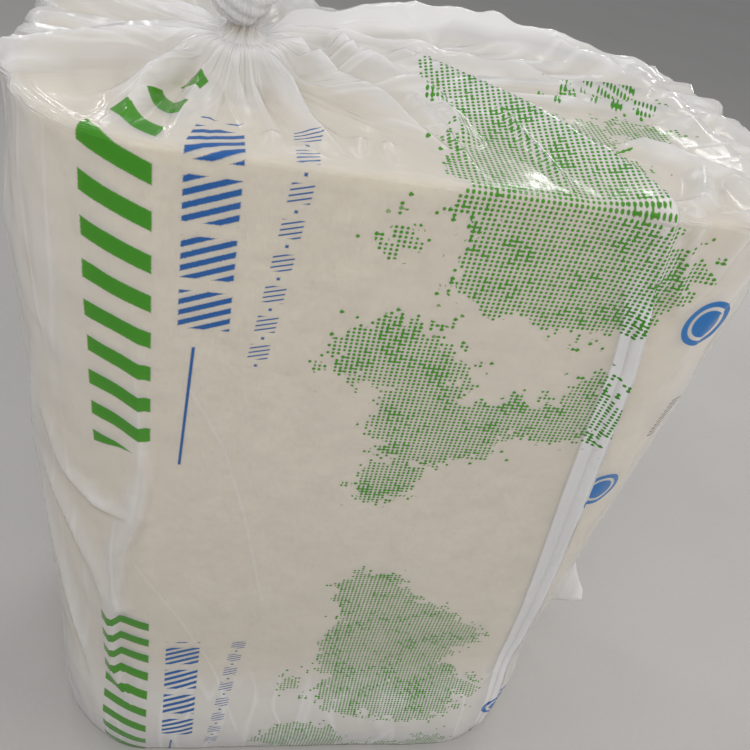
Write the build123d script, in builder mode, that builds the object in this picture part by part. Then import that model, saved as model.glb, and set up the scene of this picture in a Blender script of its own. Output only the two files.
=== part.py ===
from build123d import *
from math import atan2, cos, hypot, pi, radians, sin
import os

# Bagged roll of glass wool, pressed flat-sided, standing on its end on a level floor.
# Millimetres, +Z up, front face towards -Y. The origin is on the floor, under the
# middle of the roll.

# Wool roll
roll_length = 1200.0        # blanket width, which is the height of the standing roll
roll_width = 860.0          # pressed section, left to right
roll_depth = 470.0          # pressed section, front to back
roll_corner = 150.0         # radius of the section where the flat faces turn
roll_edge = 7.0             # softened cut edge round each end
blanket_thickness = 42.0    # one turn of the rolled blanket, as compressed
seam_width = 4.0            # gap between two turns
seam_depth = 8.0            # how deep the turns are drawn into each end
seam_least_radius = 6.0     # tightest bend of the innermost turn
bore_width = 110.0          # bore, pressed to a slot
bore_height = 18.0

# Film bag
film_wall = 1.0             # film and its loose folds, drawn as one skin
film_clearance = 2.0        # between the wool and the skin, more than the facets cut off
end_slack = 16.0            # how far the film stands off the left and right ends
foot_slack = 22.0           # how far it spreads round the foot
foot_height = 60.0          # where it spreads most
foot_reach = 330.0          # where the spread ends
column_step = 46.0          # about the width of one facet

# Two loose folds of the front, as (share of the height, place across the front, how far the
# fold stands out). The left one turns the film's corner, the right one has a crisp right edge.
left_fold = (
    (0.0, -262.0, 0.0), (0.09, -290.0, 4.0), (0.21, -330.0, 19.0), (0.34, -333.0, 22.0),
    (0.49, -318.0, 22.0), (0.62, -290.0, 13.0), (0.78, -290.0, 3.0), (1.0, -290.0, 0.0),
)
left_fold_foot = (44.0, 12.0)    # width of its left and right side
right_fold = (
    (0.0, 366.0, 2.0), (0.15, 362.0, 8.0), (0.29, 356.0, 13.0), (0.5, 326.0, 19.0),
    (0.63, 303.0, 21.0), (0.75, 285.0, 21.0), (0.93, 248.0, 18.0), (1.0, 228.0, 13.0),
)
right_fold_foot = (50.0, 8.0)

# Gathered mouth: the film is pulled together left of the middle of the top
neck_offset_x = -215.0
neck_offset_y = -28.0
neck_rise = 50.0            # above the rim of the roll
neck_radius = 16.0
pleat_sag = 3.0             # how quickly a valley drops away from the neck
back_swell = 1.7            # how full the pleats stand towards the back
pleat_levels = (0.05, 0.15, 0.35, 0.6, 0.85)
pleat_wall = 26.0           # how much shorter the room's narrow pleats are than the skin's
pinch_depth = 0.22          # ripple of the gathered film, as a share of its radius

# Knot and loose tail over the neck: height above the neck, radius, turn in degrees
knot_rings = ((14.0, 25.0, 12.0), (32.0, 29.0, 24.0), (50.0, 17.0, 36.0))
tail_rings = ((78.0, 27.0, 44.0), (118.0, 50.0, 52.0), (136.0, 62.0, 56.0))
tail_ripple = 0.38
tail_lean = (18.0, -10.0)   # how far the top of the tail leans to the right and forward

turn_room = roll_depth / 2 - bore_height / 2 - seam_width
turn_count = int(turn_room / blanket_thickness) - 1
skin = film_clearance + film_wall
wool_base = film_wall
wool_top = wool_base + roll_length
rim_height = wool_top + skin
neck_height = rim_height + neck_rise

# Lengths round the section, from the middle of the front to the middle of the back
front_flat = roll_width / 2 - roll_corner
corner_arc = roll_corner * pi / 2
end_flat = roll_depth - 2 * roll_corner
end_middle = front_flat + corner_arc + end_flat / 2
half_round = 2 * end_middle


def between(value, table, column):
    """Value of one column of a table of rows, at a place between their first numbers."""
    for low, high in zip(table, table[1:]):
        if value <= high[0]:
            share = (value - low[0]) / (high[0] - low[0])
            return low[column] + (high[column] - low[column]) * share
    return table[-1][column]


def section_point(place, away):
    """Point `away` outside the section, at a length round it from the middle of the front."""
    side = -1 if place < 0 else 1
    length = abs(place)
    front_turn = min(max((length - front_flat) / roll_corner, 0), pi / 2)
    along_end = min(max(length - front_flat - corner_arc, 0), end_flat)
    back_start = front_flat + corner_arc + end_flat
    back_turn = min(max((length - back_start) / roll_corner, 0), pi / 2)
    turn = front_turn + back_turn
    past = max(length - back_start - corner_arc, 0)
    x = min(length, front_flat) - past + (roll_corner + away) * sin(turn)
    y = along_end - end_flat / 2 - (roll_corner + away) * cos(turn)
    return side * x, y


def fold_lines(share):
    """Places round the section that the columns follow, with the folds' height at each."""
    left, left_rise = between(share, left_fold, 1), between(share, left_fold, 2)
    right, right_rise = between(share, right_fold, 1), between(share, right_fold, 2)
    return (
        (-half_round, 0.0),
        (-end_middle, 0.0),
        (left - left_fold_foot[0], left_rise / 2),
        (left, left_rise),
        (left + left_fold_foot[1], 0.0),
        (right - right_fold_foot[0], 0.0),
        (right, right_rise),
        (right + right_fold_foot[1], 0.0),
        (end_middle, 0.0),
        (half_round, 0.0),
    )


def column_shares():
    """Columns of the film, as (stretch between two fold lines, share along it)."""
    columns = []
    lines = fold_lines(1.0)
    for i in range(len(lines) - 1):
        length = lines[i + 1][0] - lines[i][0]
        count = max(1, round(length / column_step))
        if i == 4:
            count += (count + len(columns) + 1) % 2
        columns += [(i, k / count) for k in range(count)]
    return columns + columns[-1:] if len(columns) % 2 else columns


def stand_off(place, height):
    """How far the film hangs off the roll at a place and height."""
    at_end = sin(pi * min(abs(abs(place) / end_middle), 2.0) / 2) ** 4
    up = min(height / rim_height, 1.0)
    if height < foot_height:
        spread = 0.5 + 0.5 * height / foot_height
    else:
        spread = max(0.0, (foot_reach - height) / (foot_reach - foot_height))
    return end_slack * at_end * sin(pi * up) + foot_slack * spread


def wall_ring(height, grow):
    """Outline of the film at one height, `grow` outside the roll where the film lies close."""
    share = min(height / rim_height, 1.0)
    lines = fold_lines(share)
    points = []
    for i, part in column_shares():
        place = lines[i][0] + (lines[i + 1][0] - lines[i][0]) * part
        rise = lines[i][1] + (lines[i + 1][1] - lines[i][1]) * part
        away = grow + max(rise, 0.0) + stand_off(place, height)
        points.append(section_point(place, away))
    return points


def pleated(grow, rise, inset=0.0, ridges=True):
    """Section of the gathered film at a share `rise` of the way up from rim to neck.

    Every point is drawn in by `inset`, less near the neck. Without ridges, all the columns
    stay as low as the valleys.
    """
    points = []
    for k, (x, y) in enumerate(wall_ring(rim_height, grow)):
        away = hypot(x - neck_offset_x, y - neck_offset_y)
        ux = (x - neck_offset_x) / away
        uy = (y - neck_offset_y) / away
        ridge = ridges and k % 2 == 0
        full = 1.0 + back_swell * max(y, 0.0) / (roll_depth / 2)
        share = rise ** (full if ridge else 1.0 / pleat_sag)
        radius = neck_radius * (1.0 + (pinch_depth if ridge else -pinch_depth))
        reach = away + (radius - away) * share
        reach -= min(inset, reach / 3)
        points.append((neck_offset_x + ux * reach, neck_offset_y + uy * reach))
    return points


def gathered(radius, ripple, turn, shift):
    """Rippled ring of film over the neck, turned by `turn` degrees."""
    points = []
    for k, (x, y) in enumerate(wall_ring(rim_height, 0.0)):
        angle = atan2(y - neck_offset_y, x - neck_offset_x) + radians(turn)
        reach = radius * (1.0 + (ripple if k % 2 == 0 else -ripple))
        points.append(
            (
                neck_offset_x + shift[0] + reach * cos(angle),
                neck_offset_y + shift[1] + reach * sin(angle),
            )
        )
    return points


def spiral(offset):
    """Corner points and radii of a flat-sided spiral, `offset` outside the seam line."""
    points = []
    radii = []
    sides = 4 * turn_count
    for i in range(sides + 1):
        inset = blanket_thickness * (1.0 + i / 4.0) - offset
        after = blanket_thickness * (1.0 + (i + 1) / 4.0) - offset
        near_x = roll_width / 2 - (inset if i % 2 else after)
        near_y = roll_depth / 2 - (after if i % 2 else inset)
        sx, sy = ((1, -1), (1, 1), (-1, 1), (-1, -1))[i % 4]
        points.append((sx * near_x, sy * near_y))
        radii.append(max(roll_corner - inset, seam_least_radius + offset))
    start = (0.0, points[0][1])
    return [start] + points, radii[:-1]


def ring_at(height, points):
    """The points lifted to one height."""
    return [(x, y, height) for x, y in points]


def closed_skin(rings):
    """Closed solid through rings of equally many points, made of flat facets."""
    outlines = [rings[0], rings[-1]]
    for low, high in zip(rings, rings[1:]):
        for k in range(len(low)):
            a, b, c, d = low[k - 1], low[k], high[k], high[k - 1]
            if a[:2] == d[:2] and b[:2] == c[:2]:
                outlines.append((a, b, c, d))
            else:
                outlines.append((a, b, c))
                outlines.append((a, c, d))
    return Solid(Shell([Face(Wire.make_polygon(points)) for points in outlines]))


with BuildPart() as wool_roll:
    with BuildSketch(Plane.XY.offset(wool_base)) as section:
        RectangleRounded(roll_width, roll_depth, roll_corner)
    extrude(amount=roll_length)
    end_faces = wool_roll.faces().filter_by(Axis.Z)
    fillet(end_faces.edges(), roll_edge)
    with BuildSketch(Plane.XY.offset(wool_base)) as bore:
        SlotOverall(bore_width, bore_height)
    extrude(amount=roll_length, mode=Mode.SUBTRACT)
    for height, depth in ((wool_top, -seam_depth), (wool_base, seam_depth)):
        with BuildSketch(Plane.XY.offset(height)) as turns:
            with BuildLine() as seam:
                outer_points, outer_radii = spiral(seam_width / 2)
                inner_points, inner_radii = spiral(-seam_width / 2)
                outer = FilletPolyline(*outer_points, radius=outer_radii)
                inner = FilletPolyline(*inner_points, radius=inner_radii)
                Line(outer @ 0, inner @ 0)
                Line(outer @ 1, inner @ 1)
            make_face()
        extrude(amount=depth, mode=Mode.SUBTRACT)

# Heights at which the film's wall changes: the foot, and each row of the right fold
wall_levels = sorted({foot_height, foot_reach} | {row[0] * rim_height for row in right_fold[1:-1]})

with BuildPart() as film_bag:
    # Outer skin: the loose wall, then the pleated crown, the knot and its tail
    outer_rings = [ring_at(height, wall_ring(height, skin)) for height in [0.0, *wall_levels, rim_height]]
    for rise in pleat_levels + (1.0,):
        outer_rings.append(ring_at(rim_height + neck_rise * rise, pleated(skin, rise)))
    for above, radius, turn in knot_rings:
        points = gathered(radius, pinch_depth, turn, (0.0, 0.0))
        outer_rings.append(ring_at(neck_height + above, points))
    for i, (above, radius, turn) in enumerate(tail_rings):
        share = (i + 1) / len(tail_rings)
        shift = (tail_lean[0] * share, tail_lean[1] * share)
        points = gathered(radius, tail_ripple, turn, shift)
        outer_rings.append(ring_at(neck_height + above, points))
    add(closed_skin(outer_rings))

    # Room for the wool, up to where the pleats close under the neck
    room_top = rim_height - film_wall
    room_rings = [ring_at(film_wall, wall_ring(0.0, film_clearance))]
    for height in wall_levels:
        room_rings.append(ring_at(height, wall_ring(height, film_clearance)))
    room_rings.append(ring_at(room_top, wall_ring(rim_height, film_clearance)))
    for rise in pleat_levels:
        points = pleated(film_clearance, rise, pleat_wall, ridges=rise < pleat_levels[-1])
        room_rings.append(ring_at(room_top + neck_rise * rise, points))
    add(closed_skin(room_rings), mode=Mode.SUBTRACT)

wool_roll.part.label = "wool_roll"
film_bag.part.label = "film_bag"
os.makedirs("parts", exist_ok=True)
export_step(wool_roll.part, "parts/wool_roll.step")
export_step(film_bag.part, "parts/film_bag.step")
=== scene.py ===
from functools import partialmethod
from math import cos, pi, radians, sin

import bpy
import numpy as np
from mathutils import Matrix, Vector


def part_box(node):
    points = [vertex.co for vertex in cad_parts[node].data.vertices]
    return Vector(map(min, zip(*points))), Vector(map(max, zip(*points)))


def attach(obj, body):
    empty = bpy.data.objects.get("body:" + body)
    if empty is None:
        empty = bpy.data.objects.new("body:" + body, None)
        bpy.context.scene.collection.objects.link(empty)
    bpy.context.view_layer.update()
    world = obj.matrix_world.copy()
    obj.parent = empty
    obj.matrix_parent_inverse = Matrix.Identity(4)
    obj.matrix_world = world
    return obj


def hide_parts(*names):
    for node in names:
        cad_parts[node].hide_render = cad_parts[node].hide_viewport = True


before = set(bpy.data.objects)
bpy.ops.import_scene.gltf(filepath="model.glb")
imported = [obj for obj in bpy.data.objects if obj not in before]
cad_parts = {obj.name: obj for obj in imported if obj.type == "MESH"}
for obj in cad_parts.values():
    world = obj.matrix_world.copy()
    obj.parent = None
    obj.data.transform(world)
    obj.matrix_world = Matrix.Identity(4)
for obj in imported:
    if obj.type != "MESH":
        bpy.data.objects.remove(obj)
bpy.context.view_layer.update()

# Bagged roll of glass wool. Sizes here are millimetres in the frame of the model, and a mesh
# is written in metres. The front face looks towards -Y.
MM = 0.001
wool_low, wool_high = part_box("wool_roll")
HALF_X = (wool_high.x - wool_low.x) / 2 / MM
HALF_Y = (wool_high.y - wool_low.y) / 2 / MM
WOOL_BASE = wool_low.z / MM
WOOL_TOP = wool_high.z / MM
CORNER = 150.0  # radius of the roll's section where its flat faces turn
EDGE = 7.0  # softened cut edge round each end
BLANKET = 42.0  # one turn of the blanket
BORE_HALF_X = 55.0  # bore, pressed to a slot
BORE_HALF_Y = 9.0

# Gathered mouth of the bag
NECK_X = -215.0
NECK_Y = -28.0
CROWN_RING = 27.0  # where the crown turns up into the neck
CROWN_RING_TOP = 1239.0

# Where the flat and the round parts of the section end, going round from the middle of the front
FLAT = HALF_X - CORNER
ARC = CORNER * pi / 2
SIDE = 2 * (HALF_Y - CORNER)
AFTER_ARC = FLAT + ARC
AFTER_SIDE = AFTER_ARC + SIDE
AFTER_BACK_ARC = AFTER_SIDE + ARC
HALF_ROUND = AFTER_BACK_ARC + FLAT


def section_point(s):
    """Point x, y and outward normal of the roll's section; s runs from the middle of the front."""
    s = np.asarray(s, float)
    way = np.where(s < 0, -1.0, 1.0)
    a = np.minimum(np.abs(s), HALF_ROUND)
    front_turn = np.clip((a - FLAT) / CORNER, 0, pi / 2)
    back_turn = np.clip((a - AFTER_SIDE) / CORNER, 0, pi / 2)
    turn = front_turn + back_turn
    nx = np.sin(turn)
    ny = -np.cos(turn)
    centre_y = np.clip(a - AFTER_ARC, 0, SIDE) - SIDE / 2
    centre_x = np.where(a < FLAT, a, np.where(a > AFTER_BACK_ARC, HALF_ROUND - a, FLAT))
    x = centre_x + CORNER * nx
    y = centre_y + CORNER * ny
    return x * way, y, nx * way, ny


def smooth_step(x, low, high):
    """0 below low, 1 above high, smooth between."""
    t = np.clip((np.asarray(x, float) - low) / (high - low), 0, 1)
    return t * t * (3 - 2 * t)


def soft_noise(x, y, size, seed):
    """Smooth random field from -1 to 1 with features about `size` wide."""
    table = np.random.RandomState(seed).uniform(-1, 1, (64, 64))
    gx = x / size + 17.0
    gy = y / size + 29.0
    ix = np.floor(gx).astype(int)
    iy = np.floor(gy).astype(int)
    fx = smooth_step(gx - ix, 0, 1)
    fy = smooth_step(gy - iy, 0, 1)
    a = table[ix % 64, iy % 64]
    b = table[(ix + 1) % 64, iy % 64]
    c = table[ix % 64, (iy + 1) % 64]
    d = table[(ix + 1) % 64, (iy + 1) % 64]
    return (a * (1 - fx) + b * fx) * (1 - fy) + (c * (1 - fx) + d * fx) * fy


def facets(x, y, seed, wrap=64):
    """Distance to the nearest of scattered points one unit apart: sharp ridges between dents."""
    table = np.random.RandomState(seed).uniform(0.1, 0.9, (2, 64, 64))
    ix = np.floor(x).astype(int)
    iy = np.floor(y).astype(int)
    best = np.full(np.broadcast(x, y).shape, 9.0)
    for dx in (-1, 0, 1):
        for dy in (-1, 0, 1):
            cell = ((ix + dx) % wrap % 64, (iy + dy) % 64)
            away_x = ix + dx + table[0][cell] - x
            away_y = iy + dy + table[1][cell] - y
            best = np.minimum(best, np.hypot(away_x, away_y))
    return best


def smooth_max(a, b, k):
    """The larger of two fields, with the crossing rounded over k."""
    near = np.maximum(k - np.abs(a - b), 0) / k
    return np.maximum(a, b) + near * near * k / 4


CREST = 0.8  # how round the crest of a fold is
NO_FOLD = -50.0  # height past a fold's feet, below any film


def ridge(px, py, points, left, right, power):
    """Height of a fold along a listed line of (x, y, height)."""
    best = np.full(px.shape, NO_FOLD)
    for (ax, ay, ah), (bx, by, bh) in zip(points, points[1:]):
        dx, dy = bx - ax, by - ay
        size = dx * dx + dy * dy
        t = np.clip(((px - ax) * dx + (py - ay) * dy) / size, 0, 1)
        away = np.hypot(px - ax - dx * t, py - ay - dy * t)
        side = (px - ax) * dy - (py - ay) * dx
        foot = np.where(side > 0, right, left)
        q = np.clip((np.sqrt(away * away + CREST * CREST) - CREST) / foot, 0, 1)
        height = (ah + (bh - ah) * t) * (1 - q) ** power
        best = np.maximum(best, np.where(q < 1, height, NO_FOLD))
    return best


def ridges(px, py, folds, field, k):
    """All the folds of a list laid over a field."""
    for points, left, right, power in folds:
        field = smooth_max(field, ridge(px, py, points, left, right, power), k)
    return field


# Folds of the crown, as seen from above: points of (x, y, height over the roll), the width of
# the fold's foot to the left and the right of its line, and how hollow its sides are
CROWN_FOLDS = (
    (((-219, -60, 44), (-220, -94, 33), (-209, -141, 15), (-203, -190, 5)), 30, 14, 1.1),
    (((-208, -45, 46), (-194, -61, 40), (-169, -94, 30), (-141, -152, 14), (-112, -201, 5)), 12, 26, 1.1),
    (((-200, -30, 48), (-153, -20, 40), (-78, -89, 24), (-8, -162, 8)), 34, 26, 1.2),
    (((-200, -20, 48), (-118, 25, 42), (-60, -20, 34), (5, -56, 25), (23, -128, 12)), 34, 30, 1.2),
    (((-232, -30, 48), (-264, -42, 48), (-299, -45, 44), (-385, -90, 34), (-428, -120, 26)), 24, 100, 1.5),
    (((-232, -36, 46), (-264, -60, 38), (-300, -120, 26), (-315, -200, 8)), 26, 40, 1.3),
    (((-225, -50, 46), (-250, -100, 32), (-262, -160, 14), (-270, -225, 4)), 26, 24, 1.2),
    (((-230, -10, 48), (-300, 40, 40), (-380, 90, 30), (-440, 120, 26)), 50, 50, 1.4),
    (((-222, -5, 48), (-250, 90, 40), (-280, 170, 30), (-300, 240, 20)), 60, 60, 1.3),
    (((-212, 0, 48), (-190, 100, 44), (-160, 200, 34), (-150, 245, 24)), 50, 50, 1.3),
    (((-205, -8, 50), (-110, 60, 54), (-17, 140, 50), (49, 170, 56), (122, 178, 52), (205, 178, 44),
      (278, 180, 33), (367, 175, 18)), 90, 62, 1.25),
    (((-205, -8, 50), (-120, 30, 46), (-30, 60, 36), (60, 75, 28), (160, 60, 20), (268, 13, 9)),
     40, 40, 1.2),
    (((205, 170, 42), (300, 110, 26), (363, 60, 16), (425, 5, 14)), 50, 50, 1.3),
)
# Folds that run over the front edge: the first number is the place along the front, the second
# the height, which goes on across the top as the distance behind the front edge
EDGE_FOLDS = (
    (((-20, 1475, 34), (25, 1440, 33), (60, 1412, 32), (92, 1386, 31), (123, 1356, 30), (148, 1325, 28),
      (170, 1296, 26), (190, 1272, 23), (206, 1250, 21), (218, 1222, 19), (226, 1198, 17), (233, 1176, 14),
      (244, 1130, 12)), 22, 104, 1.5),
    (((-40, 1440, 24), (-14, 1350, 18), (14, 1270, 10), (30, 1215, 3)), 14, 20, 1.2),
    (((62, 1405, 27), (88, 1330, 20), (112, 1255, 12), (124, 1210, 4)), 14, 18, 1.2),
    (((134, 1340, 25), (146, 1282, 18), (156, 1232, 10), (162, 1196, 4)), 12, 14, 1.2),
    (((-181, 1245, 9), (-183, 1204, 3)), 16, 16, 1.2),
    (((-92, 1265, 9), (-92, 1208, 3)), 16, 16, 1.2),
    (((-63, 1262, 9), (-63, 1207, 3)), 14, 16, 1.2),
    (((-150, 1232, 6), (-152, 1204, 2)), 12, 12, 1.2),
)
# Folds that cross the rim at the right corner: place round the roll, and height, which goes on
# across the top as the distance in from the rim towards the neck
RIM_FOLDS = (
    (((862, 1262, 26), (783, 1261, 27), (727, 1280, 26), (628, 1275, 24), (555, 1268, 22), (492, 1256, 20),
      (430, 1240, 15)), 34, 90, 1.6),
    (((471, 1387, 26), (467, 1354, 24), (452, 1322, 23), (441, 1279, 20), (388, 1240, 17), (350, 1210, 13)),
     46, 36, 1.4),
    (((466, 1321, 22), (383, 1290, 17), (275, 1232, 14), (239, 1185, 10), (258, 1124, 6)), 26, 30, 1.4),
    (((305, 1303, 18), (241, 1225, 14), (222, 1206, 11), (231, 1181, 8), (237, 1159, 5)), 16, 18, 1.3),
    (((320, 1212, 13), (320, 1191, 12), (316, 1160, 10), (312, 1123, 8), (297, 1085, 5)), 24, 34, 1.5),
    (((452, 1322, 23), (420, 1240, 17), (372, 1160, 13), (345, 1060, 9), (330, 960, 5)), 28, 44, 1.5),
    (((260, 1240, 9), (262, 1190, 10), (275, 1120, 8), (297, 1085, 5)), 16, 20, 1.2),
    (((555, 1268, 22), (520, 1190, 17), (480, 1060, 13), (455, 880, 9), (440, 700, 4)), 44, 60, 1.6),
)
# Folds of the side wall: place round the roll from the middle of the front, and height
WALL_FOLDS = (
    (((-294, 1000, 3), (-297, 923, 7), (-296, 842, 10), (-288, 753, 14), (-296, 679, 19), (-318, 595, 22),
      (-336, 417, 22), (-336, 257, 20), (-290, 100, 15), (-262, 6, 10)), 12, 46, 1.5),
    (((-430, 800, 8), (-396, 722, 12), (-350, 684, 14), (-304, 668, 12)), 34, 34, 1.3),
    (((-440, 690, 9), (-392, 612, 14), (-354, 520, 17), (-338, 440, 18)), 40, 34, 1.3),
    (((-470, 640, 8), (-436, 520, 12), (-400, 330, 15), (-372, 180, 14), (-330, 50, 10)), 44, 40, 1.4),
    (((-390, 1160, 3), (-410, 1000, 6), (-440, 860, 9), (-490, 660, 11), (-540, 440, 9)), 60, 40, 1.4),
    (((452, 500, 3), (452, 462, 20), (450, 422, 48), (449, 396, 58), (449, 384, 14)), 13, 17, 1.0),
    (((-560, 1180, 6), (-585, 960, 13), (-572, 700, 14), (-600, 420, 9)), 32, 24, 1.3),
    (((-640, 1200, 8), (-655, 1040, 12), (-690, 860, 10), (-700, 640, 5)), 22, 30, 1.3),
    (((-700, 1190, 5), (-730, 1000, 12), (-700, 760, 13), (-722, 480, 9), (-716, 200, 8)), 30, 36, 1.3),
    (((-800, 1200, 10), (-792, 1060, 13), (-812, 850, 9), (-806, 600, 4)), 24, 30, 1.3),
    (((-880, 1190, 6), (-900, 930, 12), (-868, 640, 9), (-880, 300, 5)), 34, 28, 1.3),
    (((-960, 1200, 8), (-940, 1000, 10), (-962, 760, 6)), 22, 26, 1.3),
    (((600, 1200, 8), (590, 1000, 13), (606, 760, 11), (590, 500, 7)), 26, 32, 1.3),
    (((660, 1190, 6), (650, 980, 13), (668, 760, 13), (646, 420, 9), (655, 160, 8)), 34, 28, 1.3),
    (((742, 1200, 9), (752, 1040, 12), (738, 860, 8)), 20, 26, 1.3),
    (((800, 1180, 8), (822, 990, 13), (796, 740, 11), (806, 420, 6)), 30, 34, 1.3),
    (((900, 1190, 7), (926, 900, 12), (905, 560, 8), (912, 260, 6)), 28, 34, 1.3),
    (((976, 1200, 8), (966, 1010, 10), (980, 800, 5)), 22, 22, 1.3),
    (((1040, 1010, 5), (1052, 820, 12), (1036, 600, 11), (1050, 300, 6)), 26, 32, 1.3),
    (((1150, 900, 4), (1138, 700, 11), (1152, 480, 8)), 24, 24, 1.3),
    (((-1030, 960, 5), (-1016, 740, 12), (-1036, 480, 10), (-1024, 220, 6)), 30, 26, 1.3),
    (((-1110, 1060, 4), (-1122, 860, 11), (-1106, 640, 9), (-1118, 420, 4)), 24, 28, 1.3),
)

# Gathers that run from the neck over the rim at the sides and the back: place at the rim, place
# down the wall, place in towards the neck, how far down, how far in, and height
REAR_GATHERS = (
    (-505, -520, -500, 190, 150, 16), (-562, -590, -556, 330, 170, 20), (-618, -612, -622, 210, 190, 18),
    (-690, -720, -684, 420, 200, 22), (-748, -744, -754, 200, 220, 18), (-820, -850, -812, 360, 240, 22),
    (-884, -880, -890, 180, 250, 17), (-950, -978, -944, 330, 240, 21), (-1010, -1016, -1004, 210, 230, 16),
    (-1072, -1050, -1078, 300, 210, 20), (-1140, -1150, -1134, 170, 200, 15),
    (628, 612, 634, 260, 330, 20), (694, 716, 690, 380, 380, 22), (752, 748, 756, 190, 300, 18),
    (812, 836, 806, 340, 420, 22), (874, 868, 880, 200, 320, 18), (938, 962, 932, 400, 380, 21),
    (1000, 990, 1006, 190, 300, 17), (1064, 1088, 1058, 340, 260, 20), (1128, 1120, 1134, 200, 230, 16),
)


def gathers():
    """The gathers as folds, each higher and wider towards the neck."""
    folds = []
    for at, low, inner, down, over, rise in REAR_GATHERS:
        points = ((low, WOOL_TOP - down, 2), ((at + low) / 2, WOOL_TOP - down / 2, rise * 0.55),
                  (at, WOOL_TOP, rise), ((at + inner) / 2, WOOL_TOP + over / 2, rise * 1.25),
                  (inner, WOOL_TOP + over, rise * 0.9))
        folds.append((points, 17, 21, 1.2))
    return folds


# The long loose fold of the front: the film rises from a soft valley to a crisp edge and
# turns back under it. Places across the front at the given heights.
FOLD_HEIGHTS = (0, 180, 349, 470, 596, 753, 901, 1000, 1114, 1175, 1215)
FOLD_EDGE = (366, 362, 356, 342, 326, 303, 285, 273, 248, 232, 224)
FOLD_VALLEY = (342, 336, 328, 314, 297, 274, 256, 246, 221, 206, 198)
FOLD_RISE = (3, 8, 12, 15, 18, 20, 20, 19, 17, 14, 12)
FOLD_UNDER = 15.0  # how far the film turns back under the crisp edge
FOLD_BACK = 10.0  # how far beyond that edge it lies on the wool again
FOLD_TOP = 1150.0  # the turned-under part fades out above this

CLEAR = 1.5  # film lying on the wool
BLEND = 2.5  # how softly folds run into the film round them
RIM_BLEND = 2.0
LARGE_DENT = 13.0  # crumples of the loose film on the walls
SMALL_DENT = 8.0
CROWN_LARGE_DENT = 15.0  # and on the crown
CROWN_SMALL_DENT = 8.0
LEFT_BULGE = 17.0  # how far the soft roll bulges, at its sides and its foot
RIGHT_BULGE = 12.0
FOOT_BULGE = 9.0
FRONT_FOOT_BULGE = 7.0
PLEATS = 30  # sharp pleats round the neck
PLEAT_HEIGHT = 15.0
PLEAT_REACH = 240.0
NECK_FOOT = 88.0  # where the crown starts to climb to the neck, from its middle

COLUMN_EDGE = 238.0  # columns that follow the fold: its edge, valley and turned part
COLUMN_VALLEY = 190.0
COLUMN_UNDER = 250.0
COLUMN_BACK = 262.0
COLUMN_STRETCHES = (
    (-HALF_ROUND, -520, 8.8), (-520, -60, 6.2), (-60, 150, 6.4), (150, 236, 5.0), (236, 264, 2.4),
    (264, 560, 5.4), (560, HALF_ROUND, 8.8),
)
WALL_STRETCHES = ((0, 640, 8.6), (640, WOOL_TOP - EDGE, 5.6))
CROWN_ROWS = 80
RIM_ROWS = 4


def divided(stretches):
    """Values that fill each stretch of (start, end, spacing), without the very last end."""
    values = []
    for start, end, spacing in stretches:
        count = max(1, round((end - start) / spacing))
        values += [start + (end - start) * i / count for i in range(count)]
    return np.array(values)


def swell(s, z):
    """How far the soft roll bulges past its plain section."""
    left = smooth_step(-s, 320, 500) * (1 - smooth_step(-s, 700, 880))
    right = smooth_step(s, 330, 520) * (1 - smooth_step(s, 700, 880))
    middle = smooth_step(z, 0, 380) * (1 - 0.8 * smooth_step(z, 1040, WOOL_TOP - EDGE))
    foot = (1 - smooth_step(z, 60, 300)) * (0.7 + 0.3 * smooth_step(z, -20, 60))
    front = smooth_step(s, -380, -200) * (1 - smooth_step(s, 300, 460))
    sides = LEFT_BULGE * left + RIGHT_BULGE * right
    return sides * middle + (FOOT_BULGE + FRONT_FOOT_BULGE * front) * foot


def wall_lift(s, z):
    """How far the film stands off the side wall at s round the roll and height z."""
    size = np.abs(s)
    joined = 1 - smooth_step(size, HALF_ROUND - 60, HALF_ROUND - 5)
    left = smooth_step(-s, 285, 390)
    right = smooth_step(s, 262, 380)
    front = (1 - left) * (1 - right)
    back = smooth_step(size, 760, 900)
    high = smooth_step(z, 700, 1150)
    low = soft_noise(s, z, 150, 3) * 0.8 + soft_noise(s, z, 60, 4) * 0.3
    slanted = s + 0.24 * (z - 600) + 14 * soft_noise(s, z, 90, 7)
    bulge = left * (2 + 2 * high) + right * (2 + 3 * high)
    large = facets(slanted / 95, z / 260, 5) - 0.3
    small = facets(slanted / 34, z / 95, 6) - 0.3
    loose = np.maximum(left * (0.45 + 0.4 * high), right * (0.35 + 0.65 * high)) * (0.7 + 0.5 * back)
    crumple = loose * (LARGE_DENT * large + SMALL_DENT * small) * joined
    field = CLEAR + 0.8 + low * joined + np.maximum(bulge + crumple, 0) * joined
    slack = (1 - smooth_step(z, 70, 330)) * (0.75 + 0.25 * smooth_step(z, -10, 60))
    ripple = facets(slanted / 80, z / 160, 9) - 0.4
    field += slack * (8 + 12 * front + 9 * ripple * (1 - 0.5 * front))
    return ridges(s, z, WALL_FOLDS, field, BLEND)


def crown_lift(x, y):
    """How far the film stands off the top of the roll."""
    away = np.hypot(x - NECK_X, y - NECK_Y)
    angle = np.arctan2(y - NECK_Y, x - NECK_X)
    turn = (angle + pi) / (2 * pi)
    field = CLEAR + 1.2 + soft_noise(x, y, 70, 11) * 0.8
    field = ridges(x, y, CROWN_FOLDS, field, BLEND)
    loose = smooth_step(field, 4, 22)
    large = facets(turn * 22 + 0.4 * soft_noise(x, y, 80, 12), away / 120, 13, 22) - 0.3
    small = facets(turn * 47 + 0.3 * soft_noise(x, y, 50, 14), away / 60, 15, 47) - 0.3
    spread = np.clip(away / 200, 0.15, 1.3)
    field = field + loose * spread * (CROWN_LARGE_DENT * large + CROWN_SMALL_DENT * small)
    return np.maximum(field, CLEAR + 1)


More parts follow.
